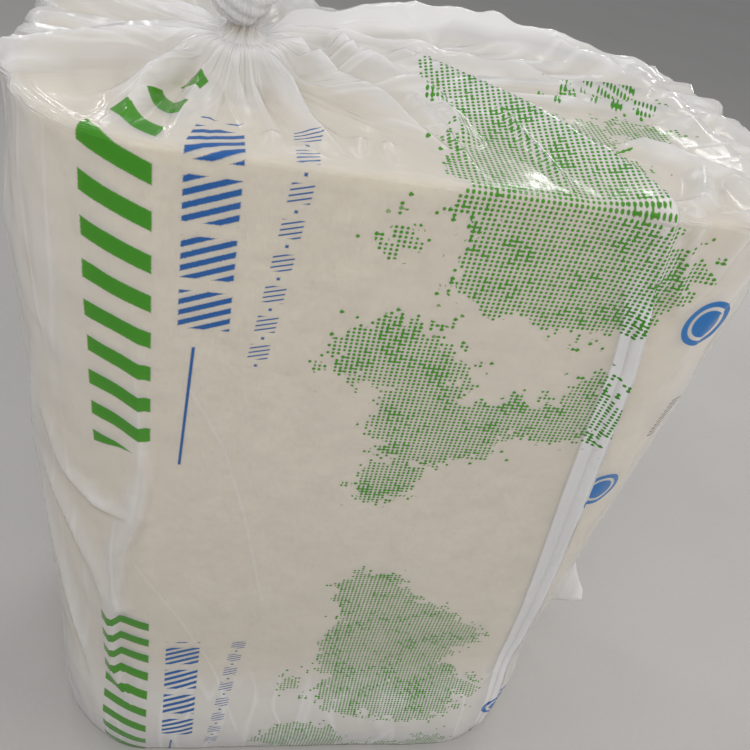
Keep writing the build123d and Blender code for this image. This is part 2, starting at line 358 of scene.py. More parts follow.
def rim_lift(s, w, field):
    """Folds that cross the rim at the right corner, and the gathers, laid over the field."""
    near = (s > 200) & (s < 1000) & (w > 600)
    field = np.where(near, ridges(s, w, RIM_FOLDS, field, RIM_BLEND), field)
    behind = (np.abs(s) > 470) & (w > 700)
    return np.where(behind, ridges(s, w, gathers(), field, RIM_BLEND), field)


def one_row(*values):
    """One line of points in the shape of a block of rows."""
    return tuple(value[None] for value in values)


def long_fold(c, z):
    """The front's long fold: where each column c lies round the roll at height z, how high the
    fold stands there, and where it is turned under."""
    edge = np.interp(z, FOLD_HEIGHTS, FOLD_EDGE)
    valley = np.interp(z, FOLD_HEIGHTS, FOLD_VALLEY)
    rise = np.interp(z, FOLD_HEIGHTS, FOLD_RISE)
    near_left = smooth_step(c, -60, COLUMN_VALLEY)
    near_right = 1 - smooth_step(c, COLUMN_BACK, 500)
    up = np.clip((c - COLUMN_VALLEY) / (COLUMN_EDGE - COLUMN_VALLEY), 0, 1)
    under = np.clip((c - COLUMN_EDGE) / (COLUMN_UNDER - COLUMN_EDGE), 0, 1)
    back = np.clip((c - COLUMN_UNDER) / (COLUMN_BACK - COLUMN_UNDER), 0, 1)

    plain = c + (edge - COLUMN_EDGE) * near_left * near_right
    folded = np.where(c < COLUMN_VALLEY, c + (valley - COLUMN_VALLEY) * near_left,
                      valley + (edge - valley) * up)
    folded = np.where(under > 0, edge - FOLD_UNDER * np.sin(under * pi / 2), folded)
    folded = np.where(back > 0, edge - FOLD_UNDER + (FOLD_UNDER + FOLD_BACK) * back, folded)
    folded = np.where(c > COLUMN_BACK, c + (edge + FOLD_BACK - COLUMN_BACK) * near_right, folded)

    crest = rise * up ** 1.35
    crest = np.where(under > 0, rise * (1 - under) ** 0.7 + 1.5 * under, crest)
    crest = np.where(back > 0, 1.5 * (1 - back), crest)
    share = 1 - smooth_step(z, FOLD_TOP - 90, FOLD_TOP)
    turned = (up > 0.04) * (back < 0.4) * share
    return plain + (folded - plain) * share, crest * share, turned


def wall_rows():
    """The side wall as one block of rows."""
    base = divided(COLUMN_STRETCHES)
    heights = np.append(divided(WALL_STRETCHES), WOOL_TOP - EDGE)
    z = np.repeat(heights[:, None], len(base), 1)
    s, crest, turned = long_fold(np.repeat(base[None, :], len(heights), 0), z)
    lift = ridges(s, z, EDGE_FOLDS, wall_lift(s, z) + crest, BLEND)
    lift = rim_lift(s, z, lift)
    x, y, nx, ny = section_point(s)
    out = lift + swell(s, z)
    return x + nx * out, y + ny * out, z, s, z, lift + TURNED_UNDER * turned


def rim_row(share, s, x, y, nx, ny):
    """A row of the rounded rim, from the wall (share 0) to the crown (share 1)."""
    turn = pi / 2 * share
    w = np.full(s.shape, WOOL_TOP + EDGE * (2 * share - 1))
    z = np.full(s.shape, WOOL_TOP - EDGE)
    side_part = wall_lift(s, z) + swell(s, z)
    lift = side_part * cos(turn) + crown_lift(x, y) * sin(turn)
    lift = rim_lift(s, w, ridges(s, w, EDGE_FOLDS, lift, BLEND))
    out = EDGE + lift
    return one_row(x + nx * out * cos(turn), y + ny * out * cos(turn), z + out * sin(turn), s, w, lift)


def crown_row(share, s, start_x, start_y):
    """A row of the crown, along straight lines in plan from the rim to the ring at the neck."""
    away_x = start_x - NECK_X
    away_y = start_y - NECK_Y
    reach = np.hypot(away_x, away_y)
    t = share ** 0.92
    rho = reach + (CROWN_RING - reach) * t
    x = NECK_X + away_x / reach * rho
    y = NECK_Y + away_y / reach * rho

    # Print runs on across the top: gathered to the neck at the left, flat elsewhere
    settle = 1 - smooth_step(t, 0.0, np.where(np.abs(s) > 300, 0.1, 0.35))
    flat_u = x + (s - start_x) * settle
    flat_w = WOOL_TOP + (y + HALF_Y) - (start_y + HALF_Y - EDGE) * settle
    gathered_w = WOOL_TOP + EDGE + reach - rho
    gathered = 1 - smooth_step(s, -210, -90)
    u = s * gathered + flat_u * (1 - gathered)
    w = gathered_w * gathered + flat_w * (1 - gathered)

    lift = ridges(x, WOOL_TOP + y + HALF_Y, EDGE_FOLDS, crown_lift(x, y), BLEND)
    lift = rim_lift(s, gathered_w, lift)
    climb = CROWN_RING_TOP - WOOL_TOP
    lift = smooth_max(lift, climb * (1 - smooth_step(rho, CROWN_RING, NECK_FOOT)) ** 1.5, 8)
    pleats = neck_pleats(np.arctan2(away_y, away_x)) * PLEAT_HEIGHT
    lift = lift + pleats * (1 - smooth_step(rho, 50, PLEAT_REACH)) * smooth_step(rho, 20, 70)
    lift = np.maximum(lift, CLEAR + 1)
    lift = lift + (climb - lift) * (1 - smooth_step(rho, CROWN_RING, 75))
    return one_row(x, y, WOOL_TOP + lift, u, w, lift)


def film_rows():
    """Rows of the film up to the mouth: x, y, z, print place u and w, and lift."""
    rows = [wall_rows()]
    s = rows[0][3][-1]
    x, y, nx, ny = section_point(s)
    x, y = x - nx * EDGE, y - ny * EDGE
    rows += [rim_row(i / RIM_ROWS, s, x, y, nx, ny) for i in range(1, RIM_ROWS + 1)]
    rows += [crown_row(i / CROWN_ROWS, s, x, y) for i in range(1, CROWN_ROWS + 1)]
    return rows + neck_rows(np.arctan2(y - NECK_Y, x - NECK_X), rows[-1][3][0])


def neck_pleats(angle):
    """Sharp radial pleats round the neck, about -0.4 to 0.6."""
    rng = np.random.RandomState(8)
    field = np.zeros(angle.shape)
    for centre in np.sort(rng.uniform(-pi, pi, PLEATS)):
        width = rng.uniform(0.07, 0.2)
        size = rng.uniform(0.5, 1.0)
        off = np.abs((angle - centre + pi) % (2 * pi) - pi) / width
        field = np.maximum(field, size * np.clip(1 - off, 0, 1) ** 1.3)
    return field - 0.4


# Knot and loose mouth above the neck: height, radius, ripple as a share of it, twist in degrees
NECK_RINGS = (
    (1244, 20, 0.18, 4), (1248, 16.5, 0.2, 8), (1252, 15, 0.22, 12), (1258, 17, 0.2, 18),
    (1266, 22, 0.16, 26), (1276, 24, 0.15, 34), (1286, 24, 0.15, 42), (1294, 20, 0.18, 50),
    (1301, 16, 0.22, 56), (1309, 16, 0.26, 60), (1318, 20, 0.34, 63), (1328, 26, 0.4, 65),
    (1339, 33, 0.44, 66), (1350, 41, 0.46, 67), (1362, 48, 0.48, 68), (1374, 54, 0.5, 68),
    (1386, 58, 0.52, 68),
)
MOUTH_LEAN_X = 18.0  # how far the mouth leans over
MOUTH_LEAN_Y = -10.0
KNOT_HEIGHT = 1280.0  # loop of the knot: its middle, its radius, and its thickness
KNOT_RADIUS = 19.0
KNOT_THICK = 11.5

# What the print and the milk of the film are told where it lies in several layers
NO_PRINT = -2000.0
NECK_PRINT = 1500.0
LAYERED = 30.0  # lift of the neck, the mouth and the knot
TURNED_UNDER = 40.0  # added along the front's long fold


def neck_rows(base_angle, u):
    """The film above the crown: the tight neck, the knot's core and the flared mouth."""
    rows = []
    wave = neck_pleats(base_angle) + 0.35 * np.sin(base_angle * 11 + 1.0) + 0.2 * np.sin(base_angle * 23)
    for height, radius, ripple, twist in NECK_RINGS:
        angle = base_angle + radians(twist)
        lean = smooth_step(height, 1300, 1390)
        reach = radius * (1 + ripple * wave)
        x = NECK_X + MOUTH_LEAN_X * lean + reach * np.cos(angle)
        y = NECK_Y + MOUTH_LEAN_Y * lean + reach * np.sin(angle)
        z = height + 10 * lean * np.sin(base_angle * 3 + 0.6) - 6 * lean * np.abs(wave)
        w = np.full(u.shape, NECK_PRINT + height)
        rows.append(one_row(x, y, z, u, w, np.full(u.shape, LAYERED)))
    return rows


def sheet_faces(rows, columns, closed=False):
    """Quads of a grid that closes round on itself; closed: from its last row to its first, too."""
    r = np.arange(rows if closed else rows - 1)[:, None] * columns
    k = np.arange(columns)[None, :]
    above = (r + columns) % (rows * columns)
    after = (k + 1) % columns
    return np.stack((r + k, r + after, above + after, above + k), -1).reshape(-1, 4)


def knot_wrap():
    """The loop of twisted film that makes the knot round the neck."""
    around, across = 96, 48
    t = np.linspace(0, 2 * pi, around, endpoint=False)[:, None]
    a = np.linspace(0, 2 * pi, across, endpoint=False)[None, :]
    big = KNOT_RADIUS + 3 * np.sin(2 * t + 0.5)
    pleat = 0.92 + 0.26 * np.abs(np.sin(a * 4 + t * 3)) ** 1.5 + 0.1 * np.abs(np.sin(a * 9 - t * 5 + 1.0))
    small = (KNOT_THICK + 1.5 * np.sin(t * 3)) * pleat
    cx = NECK_X + big * np.cos(t)
    cy = NECK_Y + big * np.sin(t)
    cz = KNOT_HEIGHT + 9 * np.sin(t + 0.8) + 3 * np.sin(2 * t)
    x = cx + small * np.cos(a) * np.cos(t)
    y = cy + small * np.cos(a) * np.sin(t)
    z = cz + small * np.sin(a) * 1.25
    outward = np.roll(sheet_faces(around, across, closed=True)[:, ::-1], 1, 1)
    return np.stack((x, y, z), -1).reshape(-1, 3), outward


def new_mesh(name, points, faces):
    """Smooth-shaded object from points in millimetres."""
    mesh = bpy.data.meshes.new(name)
    mesh.from_pydata((points * MM).tolist(), [], [list(f) for f in faces])
    mesh.validate()
    mesh.polygons.foreach_set("use_smooth", [True] * len(mesh.polygons))
    mesh.update()
    made = bpy.data.objects.new(name, mesh)
    bpy.context.scene.collection.objects.link(made)
    return made


def add_field(made, name, values):
    """A number stored on every point of the mesh."""
    field = made.data.attributes.new(name, "FLOAT", "POINT")
    field.data.foreach_set("value", np.asarray(values, np.float32))


# Floor of the bag: rings that close on a flat line, like the weld of the film tube. Each is this
# share of the foot's depth, and the weld ends this far in from the sides.
FLOOR_SHARES = (0.97, 0.8, 0.55, 0.3, 0.12, 0.0)
FLOOR_TUCK = 60.0
FLOOR_LIFT = 2.0


def build_film():
    """The whole bag as one mesh, with what its materials need stored on the points."""
    x, y, z, u, w, lift = [np.concatenate(parts) for parts in zip(*film_rows())]
    count_rows, columns = x.shape
    points = [np.stack((x, y, z), -1).reshape(-1, 3)]
    faces = [sheet_faces(count_rows, columns)]
    fields = {"print_u": [u.reshape(-1)], "print_w": [w.reshape(-1)], "lift": [lift.reshape(-1)]}

    def add_bare(more, quads, off):
        """Film that carries no print, counted as so far off the wool."""
        points.append(more)
        faces.append(quads)
        for name, value in (("print_u", NO_PRINT), ("print_w", NO_PRINT), ("lift", off)):
            fields[name].append(np.full(len(more), value))

    low = points[0][:columns]
    before = np.arange(columns)
    after = before + count_rows * columns
    for share in FLOOR_SHARES:
        ring = low.copy()
        ring[:, 0] *= (HALF_X - FLOOR_TUCK + FLOOR_TUCK * share) / HALF_X
        ring[:, 1] *= share
        ring[:, 2] = 0.2 + 0.6 * (1 - share)
        add_bare(ring, np.stack((np.roll(before, -1), before, after, np.roll(after, -1)), -1), FLOOR_LIFT)
        before = after
        after = before + columns

    knot_points, knot_faces = knot_wrap()
    add_bare(knot_points, knot_faces + after[0], LAYERED)

    points = np.concatenate(points)
    made = new_mesh("bag_of_film", points, np.concatenate(faces))
    for name, parts in fields.items():
        fields[name] = np.concatenate(parts)
        add_field(made, name, fields[name])
    fields["dots"] = dot_density(fields["print_u"], fields["print_w"], *points.T)
    add_field(made, "dots", fields["dots"])
    dress_film(made, fields["print_u"], fields["print_w"], fields["dots"])
    return made


# Print: halftone patches as (place, height, half width, half height, slant)
DOT_PATCHES = (
    (118, 1262, 122, 132, 0.1), (172, 1130, 104, 92, -0.2), (84, 1120, 66, 58, 0.0),
    (60, 1400, 62, 72, -0.3), (222, 1290, 44, 40, 0.2), (-16, 984, 66, 52, 0.1),
    (30, 930, 48, 66, 0.2), (72, 868, 84, 60, 0.3), (20, 770, 38, 44, 0.2),
    (196, 902, 66, 34, -0.5), (240, 935, 34, 44, 0.0),
    (-42, 1140, 16, 18, 0.0), (282, 1128, 18, 26, 0.0),
)
# Patches on the top, beyond its loose fold, by x and y
FAR_PATCHES = (
    (268, 42, 38, 32), (268, -35, 42, 30), (196, 38, 14, 12), (184, -56, 48, 28), (127, -20, 24, 14),
    (221, -128, 20, 18),
)
# The crest of that loose fold, which hides the print behind it
CREST_HEIGHTS = (1176, 1198, 1222, 1250, 1272, 1296, 1325, 1356, 1386, 1412, 1440, 1475)
CREST_PLACES = (233, 226, 218, 206, 190, 170, 148, 123, 92, 60, 25, -20)
CREST_FROM = 1195
DOT_WIDE, DOT_HIGH = 6.0, 5.27  # one cell of the halftone
DOTS_OUTSIDE = -60.0  # limits of how far inside a patch a place is said to be
DOTS_DEEP = 24.0


def dot_density(u, w, x, y, z):
    """How far inside a halftone patch, in millimetres, negative outside."""
    best = np.full(u.shape, DOTS_OUTSIDE)
    for shift in (0.0, PRINT_REPEAT):
        for cx, cw, rx, rw, slant in DOT_PATCHES:
            du = u - cx - slant * (w + shift - cw)
            dw = w + shift - cw
            inside = 1 - np.sqrt((du / rx) ** 2 + (dw / rw) ** 2)
            best = np.maximum(best, inside * min(rx, rw))
    crest = np.interp(w, CREST_HEIGHTS, CREST_PLACES)
    best = np.where((w > CREST_FROM) & (u > crest + 2), DOTS_OUTSIDE, best)
    for far_x, far_y, far_rx, far_ry in FAR_PATCHES:
        far = 1 - np.sqrt(((x - far_x) / far_rx) ** 2 + ((y - far_y) / far_ry) ** 2)
        best = np.where(z > WOOL_TOP, np.maximum(best, far * min(far_rx, far_ry)), best)
    return np.minimum(best, DOTS_DEEP)


class Graph:
    """Short names for the nodes of one material."""

    def __init__(self, name):
        self.material = bpy.data.materials.new(name)
        self.material.use_nodes = True
        self.tree = self.material.node_tree
        self.tree.nodes.clear()

    def node(self, kind, inputs=None, **settings):
        """A node with its settings, and a value or another node's output on each named input."""
        made = self.tree.nodes.new(kind)
        for key, value in settings.items():
            setattr(made, key, value)
        for key, value in (inputs or {}).items():
            if hasattr(value, "is_output"):
                self.tree.links.new(value, made.inputs[key])
            elif value is not None:
                made.inputs[key].default_value = value
        return made

    def math(self, operation, a, b=None):
        return self.node("ShaderNodeMath", {0: a, 1: b}, operation=operation).outputs[0]

    add = partialmethod(math, "ADD")
    less = partialmethod(math, "SUBTRACT")
    times = partialmethod(math, "MULTIPLY")
    either = partialmethod(math, "MAXIMUM")
    both = partialmethod(math, "MINIMUM")

    def any_of(self, marks):
        """The largest of several."""
        found = marks[0]
        for mark in marks[1:]:
            found = self.either(found, mark)
        return found

    def step(self, value, low, high):
        """0 at low, 1 at high, clamped."""
        inputs = {"Value": value, "From Min": low, "From Max": high}
        return self.node("ShaderNodeMapRange", inputs, clamp=True).outputs[0]

    def field(self, name):
        return self.node("ShaderNodeAttribute", attribute_name=name).outputs["Fac"]

    def noise(self, scale, detail=2.0, rough=0.5, vector=None, distortion=0.0):
        inputs = {"Vector": vector, "Scale": scale, "Detail": detail, "Roughness": rough,
                  "Distortion": distortion}
        return self.node("ShaderNodeTexNoise", inputs).outputs[0]

    def object_place(self, scale=(1, 1, 1)):
        place = self.node("ShaderNodeTexCoord").outputs["Object"]
        return self.node("ShaderNodeMapping", {"Vector": place, "Scale": scale}).outputs[0]

    def along_the_pull(self):
        """Texture place drawn out away from the neck on the crown, and downwards on the walls."""
        x, y, z = self.node("ShaderNodeSeparateXYZ", {0: self.object_place()}).outputs
        away_x = self.less(x, NECK_X * MM)
        away_y = self.less(y, NECK_Y * MM)
        reach = self.radius(away_x, away_y)
        turn = self.math("DIVIDE", PULL_TURNS, self.either(reach, 0.01))
        along = self.times(reach, PULL_ALONG)
        crown = self.place(self.times(away_x, turn), self.times(away_y, turn), along)
        inputs = {0: self.step(z, *CROWN_FROM), 4: self.object_place(WALL_PULL), 5: crown}
        return self.node("ShaderNodeMix", inputs, data_type="VECTOR").outputs[1]

    def place(self, x, y, z=None):
        return self.node("ShaderNodeCombineXYZ", {0: x, 1: y, 2: z}).outputs[0]

    def radius(self, a, b):
        return self.math("SQRT", self.add(self.times(a, a), self.times(b, b)))

    def blend(self, share, first, second):
        return self.node("ShaderNodeMix", {0: share, 6: first, 7: second}, data_type="RGBA").outputs[2]

    def bump(self, height, strength, distance):
        inputs = {"Height": height, "Strength": strength, "Distance": distance}
        return self.node("ShaderNodeBump", inputs).outputs[0]

    def finished(self, surface):
        """The material, with its surface joined to the output."""
        self.node("ShaderNodeOutputMaterial", {"Surface": surface})
        return self.material


def srgb(red, green, blue):
    """Linear colour from 0-255 values."""
    def one(v):
        v = v / 255
        return v / 12.92 if v <= 0.04045 else ((v + 0.055) / 1.055) ** 2.4
    return (one(red), one(green), one(blue), 1.0)


# Texture of the film's creases: how finely they run round the neck, how often they change away
# from it, their scale on the walls, and the heights in metres where the wall hands over
PULL_TURNS = 7.0
PULL_ALONG = 4.0
WALL_PULL = (16.0, 16.0, 2.6)
CROWN_FROM = (1.196, 1.206)

GREEN = srgb(58, 140, 24)
BLUE = srgb(16, 88, 158)
DISC_BLUE = srgb(20, 108, 178)
DARK_INK = srgb(60, 62, 64)
FILM = srgb(231, 229, 228)
WOOL_DEEP = srgb(208, 185, 130)
WOOL_PALE = srgb(244, 229, 189)
FLOOR_DARK = srgb(168, 165, 162)
FLOOR_PALE = srgb(186, 183, 180)

# Places of the print: along the front from its middle, and height. It repeats down the bag.
PRINT_REPEAT = 917.0
FRONT_CREASES = (
    ((-241, 910), (-195, 812), (-158, 674), (-116, 476)),
    ((-304, 557), (-237, 414), (-174, 253), (-118, 79)),
)
GREEN_COLUMN = (-318.0, 34.0, 800.0, 1345.0)  # middle, half width, lowest, highest
BLUE_COLUMN = (-230.0, 27.0, 994.0, 1262.0)
SMALL_COLUMN = (-171.0, 11.0, 950.0, 1268.0)
RULE_LINE = (-284.0, 1.8, 779.0, 973.0)
LEAN = 0.42  # how far the strokes slope
GREEN_STROKES = (49.0, 11.0)  # from one to the next, and half of one
BLUE_BLOCKS = (65.0, 25.0)
BLUE_STROKES = (14.0, 3.6)
SMALL_MARKS = (40.0, 11.0)
TICKS = (6.2, 1.0)
RULE_SLOPE = -0.05
SMALL_SLOPE = -0.1
DISCS = ((341.0, 1070.0), (332.0, 768.0), (372.0, 120.0))  # place and height
DISC_RADIUS = 20.0
RING_RADII = (24.0, 33.0)
DARK_LINES = ((388.0, 1150.0, 14.0), (380.0, 900.0, 38.0))  # place, height, half the length
DARK_STROKES = (7.0, 1.4)


class Ink:
    """Procedural ink on the film, from its print coordinates in millimetres."""

    def __init__(self, g):
        self.g = g
        self.u = g.field("print_u")
        self.w = g.field("print_w")
        ragged = g.times(g.less(g.noise(900.0, 2.0), 0.5), 2.2)
        self.u_ragged = g.add(self.u, ragged)
        self.w_ragged = g.add(self.w, ragged)

    def window(self, value, centre, half, soft=0.6):
        """1 inside centre +- half, with edges a little soft."""
        off = self.g.math("ABSOLUTE", self.g.less(value, centre))
        return self.g.step(off, half + soft, half - soft)

    def repeat(self, value, period, shift=0.0):
        """Place inside a repeating cell, from 0 to period."""
        return self.g.math("FLOORED_MODULO", self.g.add(value, shift), period)

    def cell(self, shift_u, shift_w):
        """Which cell of the lattice a place is in, and a random number for it."""
        g = self.g
        across = g.math("FLOOR", g.math("DIVIDE", g.add(self.u, shift_u), DOT_WIDE))
        upward = g.math("FLOOR", g.math("DIVIDE", g.add(self.w, shift_w), DOT_HIGH))
        cell = g.place(across, upward)
        chance = g.node("ShaderNodeTexWhiteNoise", {"Vector": cell}, noise_dimensions="2D")
        return cell, chance.outputs[0]

    def halftone(self):
        """Dots on a lattice, many of them run together with a neighbour."""
        g = self.g
        off_u = g.less(self.repeat(self.u, DOT_WIDE), DOT_WIDE / 2)
        off_w = g.less(self.repeat(self.w, DOT_HIGH), DOT_HIGH / 2)
        place, chance = self.cell(0.0, 0.0)
        across = self.cell(-DOT_WIDE / 2, 0.0)[1]
        upward = self.cell(0.0, -DOT_HIGH / 2)[1]
        lump = g.noise(0.11, 2.0, 0.5, place)
        limit = g.less(2.12, g.times(lump, 2.3))
        size = g.add(g.add(1.2, g.times(lump, 1.0)), g.times(chance, 0.45))
        dot = g.step(g.less(g.radius(off_u, off_w), size), 0.35, -0.35)
        bar_u = g.both(g.math("GREATER_THAN", across, limit), self.window(off_w, 0.0, 1.2, 0.3))
        bar_w = g.both(g.math("GREATER_THAN", upward, limit), self.window(off_u, 0.0, 1.25, 0.3))
        mark = g.either(dot, g.either(bar_u, bar_w))
        coast = g.times(g.less(g.noise(0.19, 3.0, 0.7, place), 0.5), 125.0)
        inside = g.add(g.add(g.field("dots"), coast), g.times(chance, 5.0))
        stray = g.both(g.step(chance, 0.955, 0.96), g.step(inside, -16.0, -14.0))
        return g.both(mark, g.either(stray, g.step(inside, -0.5, 0.5)))

    def creases(self):
        """Thin straight creases that run down the front."""
        g = self.g
        lines = []
        for points in FRONT_CREASES:
            for (au, aw), (bu, bw) in zip(points, points[1:]):
                du, dw = bu - au, bw - aw
                size = du * du + dw * dw
                u, w = g.less(self.u, au), g.less(self.w, aw)
                along = g.step(g.add(g.times(u, du / size), g.times(w, dw / size)), 0.0, 1.0)
                away = g.radius(g.less(u, g.times(along, du)), g.less(w, g.times(along, dw)))
                lines.append(g.step(away, 3.4, 0.6))
        return g.any_of(lines)

    def column(self, where, value, drop):
        """Inside a print column, moved down by drop."""
        middle, half, low, high = where
        upright = self.window(self.w_ragged, (low + high) / 2 - drop, (high - low) / 2)
        return self.g.both(self.window(value, middle, half), upright)

    def strokes(self, value, size, soft=0.6):
        """Strokes of a given (distance, half width) along a value."""
        period, half = size
        return self.window(self.repeat(value, period), period / 2, half, soft)

    def green(self):
        """Wide strokes, all leaning the same way."""
        g = self.g
        strokes = self.strokes(g.add(self.w_ragged, g.times(self.u, LEAN)), GREEN_STROKES)
        columns = [self.column(GREEN_COLUMN, self.u_ragged, drop) for drop in (0.0, PRINT_REPEAT)]
        return g.both(strokes, g.any_of(columns))

    def blue(self):
        """A thin line, blocks of narrow strokes, and a column of small marks and points."""
        g = self.g
        marks = []
        strokes = self.strokes(g.less(self.w_ragged, g.times(self.u, LEAN)), BLUE_STROKES)
        ticks = self.strokes(g.less(self.w, g.times(self.u, 0.3)), TICKS, 0.4)
        for drop in (0.0, PRINT_REPEAT):
            leaning = g.add(self.u, g.times(g.less(self.w, GREEN_COLUMN[2] - drop), RULE_SLOPE))
            marks.append(self.column(RULE_LINE, g.add(leaning, -36.0), drop))
            period, half = BLUE_BLOCKS
            place = self.repeat(self.w_ragged, period, drop % period - BLUE_COLUMN[2] % period)
            block = g.both(strokes, self.window(place, 30.0, half))
            marks.append(g.both(block, self.column(BLUE_COLUMN, self.u_ragged, drop)))
            slope = g.add(self.u, g.times(g.less(self.w, SMALL_COLUMN[2] - drop), SMALL_SLOPE))
            period, half = SMALL_MARKS
            place = self.repeat(self.w, period, drop % period)
            small = g.both(ticks, self.window(place, 14.0, half))
            point = g.both(self.window(place, 34.0, 1.8), self.window(slope, SMALL_COLUMN[0], 1.8))
            marks.append(g.both(g.either(small, point), self.column(SMALL_COLUMN, slope, drop)))
        return g.any_of(marks)

    def discs(self):
        """Plain round marks, each a disc in a ring."""
        g = self.g
        marks = []
        inner, outer = RING_RADII
        for place, height in DISCS:
            away = g.radius(g.less(self.u, place), g.less(self.w, height))
            ring = g.both(g.step(away, inner, inner + 1), g.step(away, outer, outer - 1))
            marks.append(g.either(g.step(away, DISC_RADIUS, DISC_RADIUS - 1), ring))
        return g.any_of(marks)

    def dark(self):
        """Short rows of thin dark lines."""
        g = self.g
        lines = self.strokes(self.w, DARK_STROKES, 0.5)
        rows = [g.both(self.window(self.u, place, 9.0), self.window(self.w, height, half))
                for place, height, half in DARK_LINES]
        return g.both(lines, g.any_of(rows))


# How milky the film is where it lies on the wool, what is added elsewhere, and the most of it
MILK = 0.46
MILK_LOOSE = 0.15
MILK_LAYERED = 0.3
MILK_EDGE_ON = 0.24
# Added along loose creases: whiter folded film, and partly a painted highlight along each crease line
MILK_CREASE_AND_PAINTED_HIGHLIGHT = 0.14
MILK_FRONT_CREASE = 0.09
MILK_MOST = 0.92
INK_COVER = 0.93


def film_material(name, printed=()):
    """Milky film: clearer where it lies on the wool, whiter where it stands off."""
    g = Graph(name)
    lift = g.field("lift")
    loose = g.step(lift, 2.5, 14.0)
    colour = FILM
    found = []
    marks = Ink(g) if printed else None
    for kind in printed:
        draw, tint = PRINTS[kind]
        found.append(draw(marks))
        colour = g.blend(found[-1], colour, tint)

    waves = g.noise(22.0, 2.0, 0.5, g.object_place(), 0.4)
    pull = g.along_the_pull()
    crease = g.math("ABSOLUTE", g.less(g.noise(1.0, 1.0, 0.5, pull, 0.1), 0.5))
    crease = g.step(crease, 0.045, 0.0)
    crumple = g.node("ShaderNodeTexVoronoi", {"Vector": pull, "Scale": 1.7}).outputs["Distance"]
    height = g.add(g.times(waves, 0.5), g.times(crease, g.add(0.05, g.times(loose, 0.25))))
    height = g.add(height, g.times(crumple, g.add(0.05, g.times(loose, 0.75))))
    inputs = {"Base Color": colour, "Roughness": g.add(0.1, g.times(waves, 0.12)), "IOR": 1.5,
              "Normal": g.bump(height, 0.6, 0.004)}
    skin = g.node("ShaderNodeBsdfPrincipled", inputs)

    facing = g.node("ShaderNodeLayerWeight", {"Blend": 0.3})
    milk = g.add(g.add(MILK, g.times(loose, MILK_LOOSE)), g.times(g.step(lift, 30.0, 44.0), MILK_LAYERED))
    milk = g.add(milk, g.times(facing.outputs["Facing"], MILK_EDGE_ON))
    # Loose creases whiter: partly folded film, partly a painted highlight along the crease lines
    milk = g.add(milk, g.times(crease, g.times(loose, MILK_CREASE_AND_PAINTED_HIGHLIGHT)))
    if "strokes" in printed:
        milk = g.add(milk, g.times(marks.creases(), MILK_FRONT_CREASE))
    cover = g.both(milk, MILK_MOST)
    if found:
        cover = g.either(cover, g.times(g.any_of(found), INK_COVER))
    clear = g.node("ShaderNodeBsdfTransparent")
    mixed = g.node("ShaderNodeMixShader", {0: cover, 1: clear.outputs[0], 2: skin.outputs[0]})
    return g.finished(mixed.outputs[0])


PRINTS = {"halftone": (Ink.halftone, GREEN), "strokes": (Ink.green, GREEN), "lines": (Ink.blue, BLUE),
          "discs": (Ink.discs, DISC_BLUE), "dark": (Ink.dark, DARK_INK)}
FILM_KINDS = (("plain_film", ()), ("film_with_strokes", ("strokes", "lines")),
              ("film_with_halftone", ("halftone",)), ("film_with_marks", ("halftone", "discs", "dark")))
# Where each print is drawn: lowest and highest place, and lowest and highest height
STROKES_IN = (-365, -100, -20, 1400)
MARKS_IN = (292, 430, 40, 1210)
DOTS_IN = -34  # from so far outside the patches


def dress_film(made, u, w, dots):
    """Printed film where the print reaches, plain film elsewhere."""
    for name, printed in FILM_KINDS:
        made.data.materials.append(film_material(name, printed))

    def within(left, right, low, high):
        return (u > left) & (u < right) & (w > low) & (w < high)

    corners = np.empty(len(made.data.loops), np.int32)
    made.data.loops.foreach_get("vertex_index", corners)
    chosen = np.zeros(len(made.data.polygons), np.int32)
    for index, where in enumerate((within(*STROKES_IN), dots > DOTS_IN, within(*MARKS_IN)), 1):
        chosen = np.where(where[corners].reshape(-1, 4).any(1), index, chosen)
    made.data.polygons.foreach_set("material_index", chosen)


def wool_material():
    """Fine fibres, clumps and flat layers of pale yellow wool."""
    g = Graph("glass_wool_fibres")
    fibre = g.noise(320.0, 2.0, 0.7, g.object_place((1.0, 1.0, 0.25)))
    clump = g.noise(24.0, 3.0, 0.6, g.object_place(), 0.8)
    layer = g.noise(90.0, 2.0, 0.5, g.object_place((0.3, 0.3, 2.0)))
    shade = g.add(g.times(fibre, 0.45), g.add(g.times(clump, 0.35), g.times(layer, 0.2)))
    colour = g.blend(g.step(shade, 0.35, 0.65), WOOL_DEEP, WOOL_PALE)
    inputs = {"Base Color": colour, "Roughness": 0.95, "Sheen Weight": 0.15,
              "Normal": g.bump(g.add(fibre, g.times(clump, 0.8)), 0.7, 0.004)}
    return g.finished(g.node("ShaderNodeBsdfPrincipled", inputs).outputs[0])


SEAM_DEPTH = 8.0  # the seam between the turns, pressed into each end
SEAM_WIDE = 3.2
TURN_BULGE = 1.5  # each turn is a little round between its seams
BORE_DEPTH = 8.0
WOOL_STEP = 9.0  # spacing of the wool's points round it, down it and across an end
WOOL_STEP_DOWN = 11.0
WOOL_STEP_IN = 4.2


